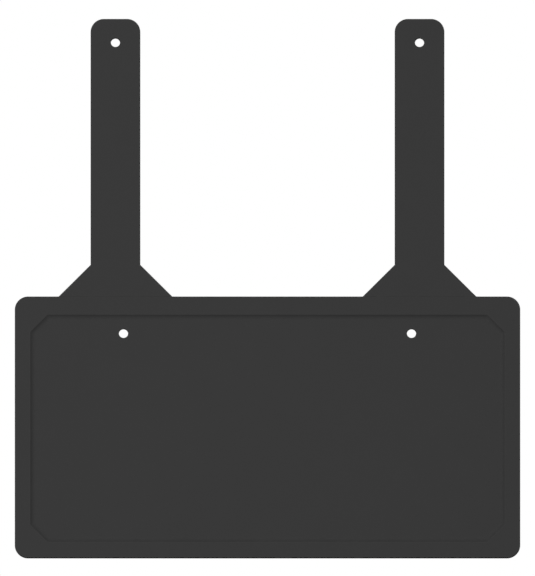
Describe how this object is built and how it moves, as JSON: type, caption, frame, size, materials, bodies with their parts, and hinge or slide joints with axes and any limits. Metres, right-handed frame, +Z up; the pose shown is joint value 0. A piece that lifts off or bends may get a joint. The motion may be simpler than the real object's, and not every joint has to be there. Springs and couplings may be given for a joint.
{
  "type": "mud flap",
  "caption": "Reinforced rubber mud flap: a wide panel with a shallow recess, hung from two long flared straps with bolt holes.",
  "frame": {"origin": "midway between the two strap holes, on the straps' back face", "axes": "+X to the right seen from the front, +Z up, +Y to the back, towards what the straps are bolted to"},
  "size_m": [0.61, 0.0095, 0.655],
  "materials": {
    "rubber": "matte moulded",
    "rubber_back": "matte, cloth marked",
    "ply": "dipped woven nylon",
    "gum": "satin"
  },
  "bodies": {
    "straps": {"left_strap_face": "rubber", "left_strap_ply": "ply", "left_strap_back": "rubber_back", "right_strap_face": "rubber", "right_strap_ply": "ply", "right_strap_back": "rubber_back"},
    "flap": {"panel_face": "rubber", "panel_ply": "ply", "panel_back": "rubber_back", "left_tie_gum": "gum", "right_tie_gum": "gum"}
  },
  "joints": [
    {"name": "flap_swing", "type": "hinge", "parent": "straps", "child": "flap", "pos_m": [0, -0.00475, -0.065], "axis": [-1, 0, 0], "range_deg": [-40, 70], "stiffness_Nm_per_rad": 1, "deforming": ["left_strap_face", "left_strap_ply", "left_strap_back", "right_strap_face", "right_strap_ply", "right_strap_back"]}
  ]
}
